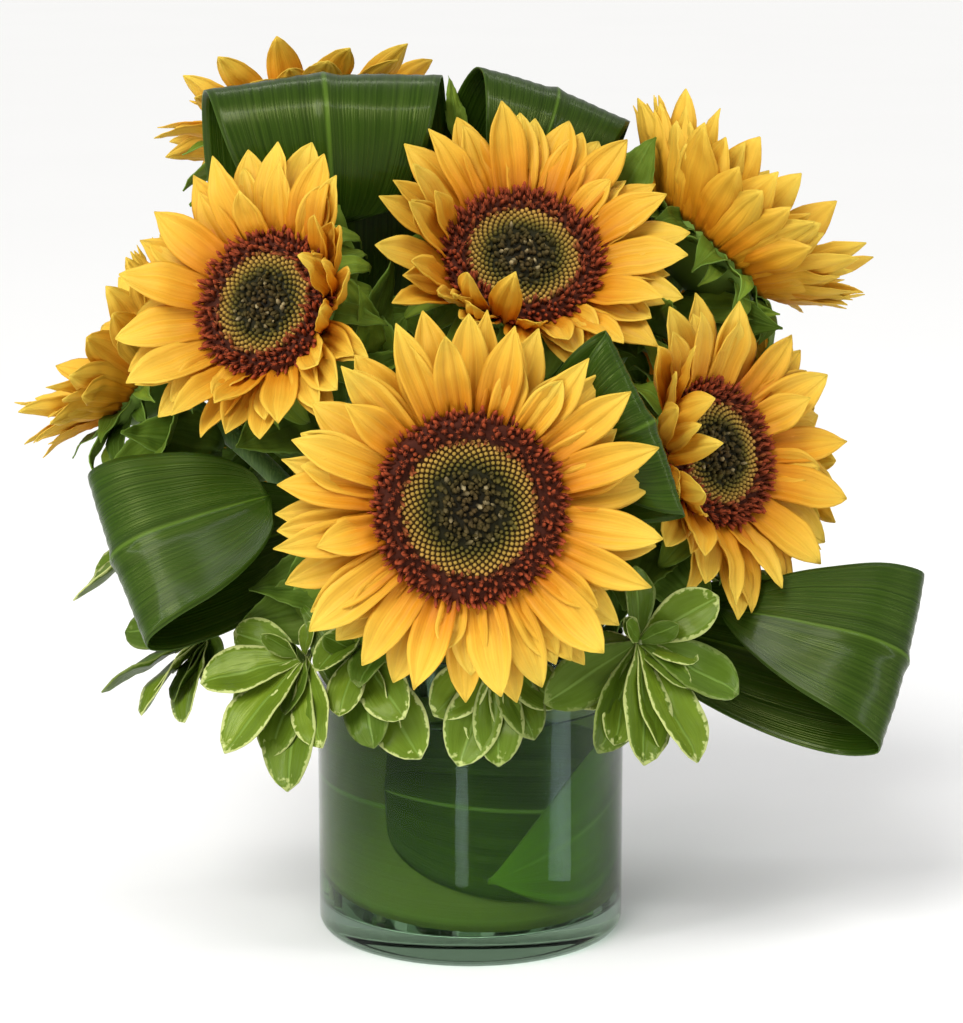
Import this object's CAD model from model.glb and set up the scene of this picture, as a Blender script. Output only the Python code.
# Sunflowers, looped aspidistra leaves and variegated pittosporum in a glass cylinder of
# water: the finished looks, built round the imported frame. Metres, Z up, front towards -Y.
import random
from math import cos, exp, pi, radians, sin, sqrt, tau

import bmesh
import bpy
from mathutils import Matrix, Vector


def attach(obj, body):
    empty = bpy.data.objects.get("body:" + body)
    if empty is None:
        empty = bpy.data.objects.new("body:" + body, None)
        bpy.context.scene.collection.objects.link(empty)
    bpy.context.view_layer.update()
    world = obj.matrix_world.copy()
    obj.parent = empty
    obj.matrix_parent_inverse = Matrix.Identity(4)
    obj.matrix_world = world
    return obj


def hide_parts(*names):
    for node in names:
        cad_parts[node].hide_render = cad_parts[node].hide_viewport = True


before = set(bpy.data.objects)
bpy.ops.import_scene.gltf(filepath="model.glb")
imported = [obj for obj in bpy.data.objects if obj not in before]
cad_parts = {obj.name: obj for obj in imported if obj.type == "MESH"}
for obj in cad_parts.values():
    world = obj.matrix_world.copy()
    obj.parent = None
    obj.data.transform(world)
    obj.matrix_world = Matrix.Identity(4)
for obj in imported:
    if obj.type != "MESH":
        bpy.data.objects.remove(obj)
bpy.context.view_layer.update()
mm = 0.001
print("frame: loaded", len(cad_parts), "nodes")


def deselectAll():
    if bpy.context.object and bpy.context.object.mode != "OBJECT":
        bpy.ops.object.mode_set(mode="OBJECT")
    bpy.ops.object.select_all(action="DESELECT")


def pick(pieces):  # selects only these, with the first one active
    deselectAll()
    for piece in pieces:
        piece.select_set(True)
    bpy.context.view_layer.objects.active = pieces[0]


def startPiece(name):  # names the primitive that was just added and opens it, nothing selected
    piece = bpy.context.object
    piece.name = name
    piece.data.name = name
    bpy.ops.object.mode_set(mode="EDIT")
    bpy.ops.mesh.select_mode(type="VERT")
    bpy.ops.mesh.select_all(action="DESELECT")
    return piece


def selectWhere(piece, wanted):  # selects the points whose place passes the test
    bm = bmesh.from_edit_mesh(piece.data)
    for vert in bm.verts:
        vert.select_set(wanted(vert.co))
    bm.select_flush_mode()
    bmesh.update_edit_mesh(piece.data)


def copyPiece(piece, name):
    twin = piece.copy()
    twin.data = piece.data.copy()
    twin.name = name
    bpy.context.collection.objects.link(twin)
    return twin


def applyModifiers(piece):
    pick([piece])
    for modifier in list(piece.modifiers):
        bpy.ops.object.modifier_apply(modifier=modifier.name)


def joinPieces(name, pieces):  # turns curves and modifiers into mesh, then makes them one
    pick(pieces)
    bpy.ops.object.convert(target="MESH")
    bpy.ops.object.join()
    bpy.ops.object.transform_apply(location=True, rotation=True, scale=True)
    piece = bpy.context.object
    piece.name = name
    piece.data.name = name
    bpy.ops.object.shade_smooth()
    return piece


def addSolidify(piece, thickness, offset=0.0):
    solid = piece.modifiers.new("Thickness", "SOLIDIFY")
    solid.thickness = thickness
    solid.offset = offset


def addTurns(piece, twist, bend):  # degrees: a twist of its length, then a bend towards +Y
    for method, axis, angle in (("TWIST", "Z", twist), ("BEND", "X", bend)):
        turn = piece.modifiers.new(method, "SIMPLE_DEFORM")
        turn.deform_method = method
        turn.deform_axis = axis
        turn.angle = radians(angle)


def addRuffle(piece, strength, size):  # soft uneven waves in the blade
    texture = bpy.data.textures.new(piece.name + "Ruffle", "CLOUDS")
    texture.noise_scale = size
    texture.noise_depth = 1
    ruffle = piece.modifiers.new("Ruffle", "DISPLACE")
    ruffle.texture = texture
    ruffle.texture_coords = "LOCAL"
    ruffle.direction = "Z"
    ruffle.strength = strength


def setValue(piece, name, values):  # a number for each point, for a material to read
    attribute = piece.data.attributes.get(name) or piece.data.attributes.new(name, "FLOAT", "POINT")
    count = len(piece.data.vertices)
    attribute.data.foreach_set("value", values if isinstance(values, list) else [values] * count)


def makeBlade(name, columns, rows, width, length, outline, profile):
    # a flat grid along Y: its columns are lifted to the profile across the blade, then its
    # rows are drawn in to the outline along it
    deselectAll()
    bpy.ops.mesh.primitive_grid_add(x_subdivisions=columns, y_subdivisions=rows, size=1)
    blade = startPiece(name)
    for column in range(columns + 1):
        across = 2 * column / columns - 1
        selectWhere(blade, lambda co: abs(2 * co.x - across) < 0.5 / columns)
        bpy.ops.transform.translate(value=(0, 0, profile(across)))
    bpy.ops.mesh.select_all(action="SELECT")
    bpy.ops.transform.translate(value=(0, 0.5, 0))
    for row in range(rows + 1):
        share = row / rows
        selectWhere(blade, lambda co: abs(co.y - share) < 0.3 / rows)
        breadth = max(outline(share), 0.03)
        bpy.ops.transform.resize(value=(breadth, 1, breadth), center_override=(0, 0, 0))
    bpy.ops.mesh.select_all(action="SELECT")
    bpy.ops.transform.resize(value=(width, length, 1), center_override=(0, 0, 0))
    bpy.ops.object.mode_set(mode="OBJECT")
    return blade


def makeKinds(name, shape, outline, profile):
    # the patterns that are copied: each stands along Z with its face towards -Y
    draw = random.Random(name + " kinds")
    kinds = []
    for index in range(shape["kinds"]):
        varied = [draw.uniform(*limits) for limits in shape.get("varied", ())]
        blade = makeBlade(f"{name}Kind{index}", shape["columns"], shape["rows"], shape["width"],
                          shape["length"], lambda share: outline(share, *varied), profile)
        addRuffle(blade, shape["ruffle"], draw.uniform(*shape["waves"]))
        addSolidify(blade, shape["thickness"])
        applyModifiers(blade)
        blade.data.transform(Matrix.Rotation(pi / 2, 4, "X"))
        kinds.append(blade)
    return kinds


def placeCopy(kind, name, size, turns, place, tone):  # turns: twist and bend, in degrees
    twin = copyPiece(kind, name)
    twin.data.transform(Matrix.Diagonal((*size, 1)))
    addTurns(twin, *turns)
    twin.matrix_world = place
    setValue(twin, "tone", tone)
    return twin


def spanMatrix(root, tip, face):  # stands a blade from its root to its tip, facing the way given
    along = (tip - root).normalized()
    face = (face - along * face.dot(along)).normalized()
    matrix = Matrix((face.cross(along).normalized(), -face, along)).transposed().to_4x4()
    matrix.translation = root
    return matrix


def makeTurned(name, profile, steps):
    # a profile drawn point by point in X and Z, spun round the upright axis
    deselectAll()
    bpy.ops.mesh.primitive_plane_add(size=0.01)
    piece = startPiece(name)
    bpy.ops.mesh.select_all(action="SELECT")
    bpy.ops.mesh.merge(type="CENTER")
    bpy.ops.transform.translate(value=(profile[0][0], 0, profile[0][1]))
    for near, far in zip(profile, profile[1:]):
        step = (far[0] - near[0], 0, far[1] - near[1])
        bpy.ops.mesh.extrude_region_move(TRANSFORM_OT_translate={"value": step})
    bpy.ops.mesh.select_all(action="SELECT")
    bpy.ops.mesh.spin(steps=steps, angle=tau, center=(0, 0, 0), axis=(0, 0, 1))
    bpy.ops.mesh.select_all(action="SELECT")
    bpy.ops.mesh.remove_doubles(threshold=0.00002)
    bpy.ops.mesh.normals_make_consistent(inside=False)
    bpy.ops.object.mode_set(mode="OBJECT")
    return piece


def makeStalk(name, knots, thickness, sides=3, taper=1.0):
    # a round stalk along a Bezier curve; each knot is its place and its handle's reach
    deselectAll()
    bpy.ops.curve.primitive_bezier_curve_add()
    stalk = bpy.context.object
    stalk.name = name
    stalk.data.dimensions = "3D"
    stalk.data.bevel_depth = thickness
    stalk.data.bevel_resolution = sides
    stalk.data.resolution_u = 10
    stalk.data.use_fill_caps = True
    points = stalk.data.splines[0].bezier_points
    points.add(len(knots) - 2)
    for index, (point, (place, reach)) in enumerate(zip(points, knots)):
        point.handle_left_type = "FREE"
        point.handle_right_type = "FREE"
        point.co = place
        point.handle_left = Vector(place) - Vector(reach)
        point.handle_right = Vector(place) + Vector(reach)
        point.radius = 1 + (taper - 1) * index / (len(knots) - 1)
    return stalk


# clear: gap over the vase's floor; mouth: height at which stalks begin to bend; footReach and
# reach: how far the curve's handles go, the second as a share of the way from mouth to end
stalkPath = {"clear": 0.3 * mm, "mouth": 100 * mm, "footReach": 10 * mm, "reach": 0.42}


def stalkKnots(slot, end, direction):
    # straight up from the floor of the vase to its mouth, then bending to the end
    foot = Vector((slot[0] * mm, slot[1] * mm, vase["base"] + stalkPath["clear"]))
    mouth = Vector((foot.x, foot.y, stalkPath["mouth"]))
    reach = (end - mouth).length * stalkPath["reach"]
    return [(foot, Vector((0, 0, stalkPath["footReach"]))), (mouth, Vector((0, 0, reach))),
            (end, direction * reach)]


def finishPiece(piece, material, slot, *nodes):
    piece.data.materials.clear()
    piece.data.materials.append(material)
    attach(piece, "root")
    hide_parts(*nodes)


def rgb(red, green, blue):
    return (red, green, blue, 1)


def setInputs(tree, node, inputs):  # a socket is joined; anything else is a fixed value
    for key, value in inputs.items():
        if isinstance(value, bpy.types.NodeSocket):
            tree.links.new(value, node.inputs[key])
        else:
            node.inputs[key].default_value = value


def addNode(tree, kind, inputs=None, **settings):
    node = tree.nodes.new(kind)
    for key, value in settings.items():
        setattr(node, key, value)
    setInputs(tree, node, inputs or {})
    return node


def addRamp(tree, factor, stops):
    ramp = addNode(tree, "ShaderNodeValToRGB", {0: factor})
    marks = ramp.color_ramp.elements
    while len(marks) < len(stops):
        marks.new(1.0)
    for mark, (place, colour) in zip(marks, stops):
        mark.position = place
        mark.color = (*colour, 1)
    return ramp.outputs[0]


def addMath(tree, operation, first, second=0.0):
    return addNode(tree, "ShaderNodeMath", {0: first, 1: second}, operation=operation).outputs[0]


def addMix(tree, factor, first, second, kind="MIX"):
    colours = {0: factor, 6: first, 7: second}
    return addNode(tree, "ShaderNodeMix", colours, data_type="RGBA", blend_type=kind).outputs[2]


def addRange(tree, value, low, high, toLow=0.0, toHigh=1.0):
    limits = {"Value": value, "From Min": low, "From Max": high, "To Min": toLow, "To Max": toHigh}
    return addNode(tree, "ShaderNodeMapRange", limits).outputs[0]


def addNoise(tree, vector, scale, detail):
    inputs = {"Vector": vector, "Scale": scale, "Detail": detail}
    return addNode(tree, "ShaderNodeTexNoise", inputs).outputs["Fac"]


def addBump(tree, height, strength, distance):
    inputs = {"Height": height, "Strength": strength, "Distance": distance}
    return addNode(tree, "ShaderNodeBump", inputs).outputs[0]


def readPlace(tree):  # where a point is on the piece, in metres
    return addNode(tree, "ShaderNodeTexCoord").outputs["Object"]


def readUv(tree):  # X across the blade and Y along it, 0 to 1
    return addNode(tree, "ShaderNodeSeparateXYZ", {0: addNode(tree, "ShaderNodeUVMap").outputs[0]}).outputs


def readValue(tree, name):  # a number that setValue gave to each point
    return addNode(tree, "ShaderNodeAttribute", attribute_name=name).outputs["Fac"]


def startMaterial(name, inputs):  # inputs: fixed values, on the shader's own sockets
    material = bpy.data.materials.new(name)
    material.use_nodes = True
    tree = material.node_tree
    shader = tree.nodes["Principled BSDF"]
    setInputs(tree, shader, inputs)
    return material, tree, shader


def setSurface(tree, share, first, second):  # a mix of two shaders, as the material's surface
    mix = addNode(tree, "ShaderNodeMixShader", {0: share, 1: first.outputs[0], 2: second.outputs[0]})
    tree.links.new(mix.outputs[0], tree.nodes["Material Output"].inputs["Surface"])


def startGroup(name, inputs, outputs):  # each socket's value tells its kind: a number or a colour
    group = bpy.data.node_groups.new(name, "ShaderNodeTree")
    for way, sockets in (("INPUT", inputs), ("OUTPUT", outputs)):
        for label, value in sockets.items():
            kind = "NodeSocketFloat" if isinstance(value, float) else "NodeSocketColor"
            socket = group.interface.new_socket(label, in_out=way, socket_type=kind)
            socket.default_value = value
    return group, group.nodes.new("NodeGroupInput"), group.nodes.new("NodeGroupOutput")


def makeMottleGroup():  # uneven growth: lighter and darker patches that vary over the surface
    group, given, made = startGroup("mottle", {"Color": rgb(0.5, 0.5, 0.5), "Scale": 60.0, "Amount": 0.3},
                                    {"Color": rgb(0, 0, 0), "Mask": 0.0})
    noise = addNoise(group, readPlace(group), given.outputs["Scale"], 3.0)
    swing = addMath(group, "MULTIPLY", addMath(group, "SUBTRACT", noise, 0.5), given.outputs["Amount"])
    value = addMath(group, "ADD", addMath(group, "MULTIPLY", swing, 2.0), 1.0)
    shade = addNode(group, "ShaderNodeHueSaturation", {"Value": value, "Color": given.outputs["Color"]})
    setInputs(group, made, {"Color": shade.outputs["Color"], "Mask": noise})
    return group


def makeLinesGroup():  # fine lines that run along a blade, from its own UV map
    group, given, made = startGroup("lengthLines", {"Lines": 20.0, "Stretch": 1.5, "Seed": 0.0},
                                    {"Mask": 0.0})
    place = readUv(group)
    vector = addNode(group, "ShaderNodeCombineXYZ", {
        "X": addMath(group, "MULTIPLY", place["X"], given.outputs["Lines"]),
        "Y": addMath(group, "MULTIPLY", place["Y"], given.outputs["Stretch"]),
        "Z": given.outputs["Seed"]})
    noise = addNoise(group, vector.outputs[0], 1.0, 2.0)
    setInputs(group, made, {"Mask": addRange(group, noise, 0.3, 0.7)})
    return group


def makeMarginGroup():  # how near a point is to the blade's sides and tip, made ragged
    group, given, made = startGroup("bladeMargin", {"Inset": 0.8, "Ragged": 0.2, "Scale": 300.0},
                                    {"Mask": 0.0, "Across": 0.0})
    place = readUv(group)
    across = addMath(group, "ABSOLUTE", addMath(group, "SUBTRACT", addMath(
        group, "MULTIPLY", place["X"], 2.0), 1.0))
    near = addMath(group, "MAXIMUM", across, addMath(group, "MULTIPLY", place["Y"], 0.93))
    noise = addNoise(group, readPlace(group), given.outputs["Scale"], 2.0)
    ragged = addMath(group, "MULTIPLY", addMath(group, "SUBTRACT", noise, 0.5), given.outputs["Ragged"])
    inset = given.outputs["Inset"]
    sharp = addRange(group, addMath(group, "ADD", near, ragged), inset, addMath(group, "ADD", inset, 0.06))
    setInputs(group, made, {"Mask": sharp, "Across": across})
    return group


mottle = makeMottleGroup()
lengthLines = makeLinesGroup()
bladeMargin = makeMarginGroup()


def addGroup(tree, group, inputs):
    return addNode(tree, "ShaderNodeGroup", inputs, node_tree=group).outputs


def addMottle(tree, colour, scale, amount):
    return addGroup(tree, mottle, {"Color": colour, "Scale": scale, "Amount": amount})


def addLines(tree, lines, stretch, seed):
    return addGroup(tree, lengthLines, {"Lines": lines, "Stretch": stretch, "Seed": seed})["Mask"]


def letLightThrough(tree, shader, colour, share):
    # thin blades glow where light falls on their other side
    setSurface(tree, share, shader, addNode(tree, "ShaderNodeBsdfTranslucent", {"Color": colour}))


def makePetalMaterial(look):
    # golden along its length, deeper at the foot, with fine lines and soft broad ridges
    material, tree, shader = startMaterial(look["name"], {"Roughness": 0.5, "Specular IOR Level": 0.22})
    along = readUv(tree)["Y"]
    tone = readValue(tree, "tone")
    swing = addMath(tree, "MULTIPLY", addMath(tree, "SUBTRACT", tone, 0.5), 0.34)
    colour = addRamp(tree, addMath(tree, "ADD", along, swing), look["along"])
    lines = addLines(tree, 30.0, 1.2, tone)
    broad = addLines(tree, 6.0, 0.8, tone)
    fade = addMath(tree, "SUBTRACT", 1.1, along)
    streaks = addMath(tree, "MULTIPLY", lines, addMath(tree, "MULTIPLY", fade, 0.5))
    colour = addMix(tree, streaks, colour, look["streak"])
    shade = addMath(tree, "MULTIPLY", broad, addMath(tree, "MULTIPLY", fade, 0.38))
    colour = addMottle(tree, addMix(tree, shade, colour, look["shade"]), 90.0, 0.10)["Color"]
    height = addMath(tree, "ADD", lines, addMath(tree, "MULTIPLY", broad, 3.0))
    setInputs(tree, shader, {"Base Color": colour, "Normal": addBump(tree, height, 0.4, 0.0003)})
    letLightThrough(tree, shader, colour, look["through"])
    return material


def makeBladeMaterial(look):
    # a leaf: a pale midrib and parallel veins from its UV map, patches, and a waxy gloss
    material, tree, shader = startMaterial(look["name"], {
        "Roughness": look["roughness"], "Specular IOR Level": look["specular"],
        "Coat Weight": look["coat"], "Coat Roughness": 0.16,
        "Specular Tint": rgb(0.8, 0.9, 0.3), "Coat Tint": rgb(0.9, 1.0, 0.8)})
    tone = readValue(tree, "tone")
    lines = addLines(tree, look["lines"], look["stretch"], tone)
    broad = addLines(tree, look["lines"] / 5, 0.8, tone)
    margin = addGroup(tree, bladeMargin, {"Inset": look["inset"], "Ragged": look["ragged"],
                                          "Scale": 420.0})
    colour = addMix(tree, tone, look["dark"], look["light"])
    colour = addMix(tree, addMath(tree, "MULTIPLY", broad, 0.5), colour, look["patch"])
    colour = addMix(tree, addMath(tree, "MULTIPLY", lines, look["veins"]), colour, look["vein"])
    rib = addRange(tree, margin["Across"], look["rib"], look["rib"] * 0.3)
    colour = addMix(tree, addMath(tree, "MULTIPLY", rib, look["ribShare"]), colour, look["vein"])
    mottled = addMottle(tree, colour, look["patches"], 0.22)
    own = addRange(tree, tone, 0.15, 0.6, look["plain"])
    rim = addMath(tree, "MULTIPLY", margin["Mask"], own)
    colour = addMix(tree, rim, mottled["Color"], look["edge"])
    gloss = addMix(tree, 0.5, mottled["Mask"], broad)
    rough = addRange(tree, gloss, 0.2, 0.8, look["roughness"] - 0.08, look["roughness"] + 0.14)
    height = addMath(tree, "ADD", lines, addMath(tree, "MULTIPLY", rib, -1.5))
    setInputs(tree, shader, {"Base Color": colour, "Roughness": rough,
                             "Normal": addBump(tree, height, look["relief"], 0.0004)})
    letLightThrough(tree, shader, colour, look["through"])
    return material


def makeFloretMaterial(look):
    # florets darken towards the disc's middle; their tips and rims carry the lighter colour
    material, tree, shader = startMaterial(look["name"], {"Roughness": 0.7, "Specular IOR Level": 0.15})
    share = readValue(tree, "share")
    bright = addRange(tree, readValue(tree, "tone"), 0.86, 1.0)
    high = addMix(tree, bright, addRamp(tree, share, look["high"]), look["speck"])
    colour = addMix(tree, readValue(tree, "rise"), addRamp(tree, share, look["low"]), high)
    mottled = addMottle(tree, colour, 700.0, 0.35)
    setInputs(tree, shader, {"Base Color": mottled["Color"],
                             "Normal": addBump(tree, mottled["Mask"], 0.3, 0.0003)})
    return material


def makeStemMaterial(look):
    material, tree, shader = startMaterial(look["name"], {"Roughness": 0.6, "Sheen Weight": 0.25})
    stretched = addNode(tree, "ShaderNodeMapping", {"Vector": readPlace(tree),
                                                    "Scale": (1400.0, 1400.0, 90.0)})
    fibre = addNoise(tree, stretched.outputs[0], 1.0, 3.0)
    colour = addMottle(tree, addRamp(tree, fibre, look["ramp"]), 90.0, 0.3)["Color"]
    setInputs(tree, shader, {"Base Color": colour, "Normal": addBump(tree, fibre, 0.5, 0.0003)})
    return material


def makeClearMaterial(look):
    # glass or water: bends light, darkens with depth, and lets lamps through without dark shadows
    material, tree, shader = startMaterial(look["name"], {
        "Roughness": 0.0, "Base Color": rgb(*look["tint"]), "Specular Tint": rgb(*look["sheen"]),
        "Transmission Weight": 1.0, "IOR": look["ior"]})
    shadowRay = addNode(tree, "ShaderNodeLightPath").outputs["Is Shadow Ray"]
    clear = addNode(tree, "ShaderNodeBsdfTransparent", {"Color": rgb(*look["shadow"])})
    setSurface(tree, shadowRay, shader, clear)
    body = addNode(tree, "ShaderNodeVolumeAbsorption", {"Color": rgb(*look["depth"]),
                                                        "Density": look["density"]})
    tree.links.new(body.outputs[0], tree.nodes["Material Output"].inputs["Volume"])
    return material


petalMaterial = makePetalMaterial({
    "name": "petalGold", "through": 0.32,
    "along": ((0.0, (0.60, 0.17, 0.004)), (0.22, (0.78, 0.34, 0.015)), (0.5, (0.86, 0.53, 0.045)),
              (1.0, (0.88, 0.67, 0.090))),
    "streak": rgb(0.55, 0.17, 0.005), "shade": rgb(0.80, 0.34, 0.010)})
aspidistraMaterial = makeBladeMaterial({
    "name": "aspidistraGreen", "roughness": 0.26, "specular": 0.25, "coat": 0.12, "lines": 110.0,
    "stretch": 1.0, "inset": 0.985, "ragged": 0.01, "dark": rgb(0.006, 0.019, 0.001),
    "light": rgb(0.019, 0.050, 0.002), "patch": rgb(0.010, 0.026, 0.001), "veins": 0.2,
    "vein": rgb(0.11, 0.20, 0.02), "rib": 0.03, "ribShare": 0.5, "patches": 22.0,
    "edge": rgb(0.12, 0.22, 0.04), "relief": 0.45, "plain": 1.0, "through": 0.12})
linerLook = {
    "name": "aspidistraInWater", "roughness": 0.4, "specular": 0.2, "coat": 0.0, "lines": 80.0,
    "stretch": 1.2, "inset": 0.985, "ragged": 0.01, "dark": rgb(0.007, 0.020, 0.001),
    "light": rgb(0.110, 0.220, 0.012), "patch": rgb(0.040, 0.065, 0.008), "veins": 0.2,
    "vein": rgb(0.14, 0.24, 0.03), "rib": 0.03, "ribShare": 0.75, "patches": 20.0,
    "edge": rgb(0.16, 0.26, 0.03), "relief": 0.2, "plain": 1.0, "through": 0.15}
linerMaterial = makeBladeMaterial(linerLook)
undersideMaterial = makeBladeMaterial({
    **linerLook, "name": "aspidistraUnderside", "dark": rgb(0.065, 0.088, 0.013),
    "light": rgb(0.115, 0.150, 0.025), "patch": rgb(0.095, 0.100, 0.026)})
pittosporumMaterial = makeBladeMaterial({
    "name": "pittosporumGreen", "roughness": 0.34, "specular": 0.35, "coat": 0.1, "lines": 16.0,
    "stretch": 3.0, "inset": 0.87, "ragged": 0.42, "dark": rgb(0.042, 0.090, 0.005),
    "light": rgb(0.165, 0.240, 0.014), "patch": rgb(0.085, 0.150, 0.009), "veins": 0.12,
    "vein": rgb(0.20, 0.32, 0.06), "rib": 0.08, "ribShare": 0.6, "patches": 90.0,
    "edge": rgb(0.55, 0.60, 0.22), "relief": 0.35, "plain": 0.15, "through": 0.16})
bractMaterial = makeBladeMaterial({
    "name": "bractGreen", "roughness": 0.5, "specular": 0.25, "coat": 0.0, "lines": 18.0,
    "stretch": 1.5, "inset": 0.93, "ragged": 0.08, "dark": rgb(0.036, 0.080, 0.005),
    "light": rgb(0.240, 0.340, 0.030), "patch": rgb(0.090, 0.160, 0.010), "veins": 0.3,
    "vein": rgb(0.18, 0.30, 0.05), "rib": 0.1, "ribShare": 0.35, "patches": 140.0,
    "edge": rgb(0.20, 0.33, 0.06), "relief": 0.4, "plain": 0.6, "through": 0.2})
floretMaterial = makeFloretMaterial({
    "name": "floretBrown",
    "low": ((0.0, (0.010, 0.007, 0.003)), (0.45, (0.016, 0.015, 0.003)), (0.62, (0.090, 0.045, 0.010)),
            (0.72, (0.045, 0.009, 0.003)), (1.0, (0.070, 0.012, 0.004))),
    "high": ((0.0, (0.070, 0.042, 0.012)), (0.36, (0.060, 0.045, 0.010)), (0.46, (0.100, 0.080, 0.012)),
             (0.55, (0.27, 0.18, 0.03)), (0.68, (0.46, 0.27, 0.055)), (0.725, (0.25, 0.046, 0.014)),
             (1.0, (0.36, 0.056, 0.015))),
    "speck": rgb(0.38, 0.30, 0.15)})
stemMaterial = makeStemMaterial({
    "name": "stemGreen", "ramp": ((0.25, (0.06, 0.14, 0.02)), (0.55, (0.13, 0.25, 0.04)),
                                  (0.8, (0.24, 0.36, 0.08)))})
twigMaterial = makeStemMaterial({
    "name": "twigGreen", "ramp": ((0.25, (0.07, 0.10, 0.025)), (0.55, (0.15, 0.18, 0.05)),
                                  (0.8, (0.25, 0.25, 0.09)))})
glassMaterial = makeClearMaterial({
    "name": "clearGlass", "ior": 1.46, "tint": (0.64, 0.76, 0.66), "sheen": (0.13, 0.15, 0.14),
    "shadow": (0.78, 0.86, 0.82), "depth": (0.3, 0.45, 0.32), "density": 11.0})
waterMaterial = makeClearMaterial({
    "name": "clearWater", "ior": 1.33, "tint": (0.86, 0.93, 0.80), "sheen": (0.1, 0.12, 0.1),
    "shadow": (0.9, 0.94, 0.9), "depth": (0.8, 0.9, 0.7), "density": 1.0})
print("materials: made", len(bpy.data.materials))


# kick: how far the outer base rises at its middle; dip: how far the inner floor sinks there
vase = {
    "radius": 63.5 * mm, "height": 127 * mm, "wall": 4 * mm, "base": 12 * mm, "steps": 128,
    "foot": 5 * mm, "hollow": 3 * mm, "kick": 1.2 * mm, "dip": 0.5 * mm, "waterLevel": 98 * mm,
    "meniscus": 1.6 * mm, "waterSkin": 0.15 * mm}


def arc(centre, radius, start, end, count):  # points of a round corner, in degrees
    turns = [radians(start + (end - start) * step / count) for step in range(count + 1)]
    return [(centre[0] + radius * cos(turn), centre[1] + radius * sin(turn)) for turn in turns]


def buildTurned(name, profile, material, slot, node):
    piece = makeTurned(name, profile, vase["steps"])
    pick([piece])
    bpy.ops.object.shade_smooth_by_angle(angle=radians(50))
    finishPiece(piece, material, slot, node)


def buildVase():
    outer = vase["radius"]
    inner = outer - vase["wall"]
    rim = vase["wall"] / 2
    foot = vase["foot"]
    hollow = vase["hollow"]
    profile = [(0, vase["kick"]), (outer * 0.7, 1.0 * mm), (outer - foot - 4 * mm, 0.0)]
    profile += arc((outer - foot, foot), foot, -90, 0, 6)
    profile += arc((outer - rim, vase["height"] - rim), rim, 0, 180, 8)
    profile += arc((inner - hollow, vase["base"] + hollow), hollow, 0, -90, 5)
    profile += [(inner * 0.5, vase["base"] - 0.4 * mm), (0, vase["base"] - vase["dip"])]
    buildTurned("glass_vase", profile, glassMaterial, "glass", "vase")
    print("vase: turned")


def buildWater():
    inner = vase["radius"] - vase["wall"]
    hollow = vase["hollow"]
    skin = vase["waterSkin"]  # the water's skin lies just inside the glass's own surface
    level = vase["waterLevel"]
    side = inner + skin
    profile = [(0, vase["base"] - vase["dip"] - skin), (inner * 0.5, vase["base"] - 0.4 * mm - skin)]
    profile += arc((inner - hollow, vase["base"] + hollow), hollow + skin, -90, 0, 5)
    profile += [(side, level + vase["meniscus"]), (side - 0.5 * mm, level + 0.8 * mm),
                (side - 1.6 * mm, level + 0.2 * mm), (side - 4 * mm, level), (0, level)]
    buildTurned("vase_water", profile, waterMaterial, "water", "water")
    print("water: filled")


# widest: where, along the midrib; pleats and groove: depths; lift: how far the edges rise
leafShape = {
    "columns": 28, "rows": 60, "thickness": 0.6 * mm, "widest": 0.55, "pleats": 0.12 * mm,
    "pleatCount": 14, "groove": 1.2 * mm, "grooveWidth": 0.06, "lift": 2.2 * mm, "ruffle": 4 * mm,
    "waves": 0.05, "footWidth": 6 * mm, "petiole": 2.2 * mm, "petioleTone": 0.9}

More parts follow.
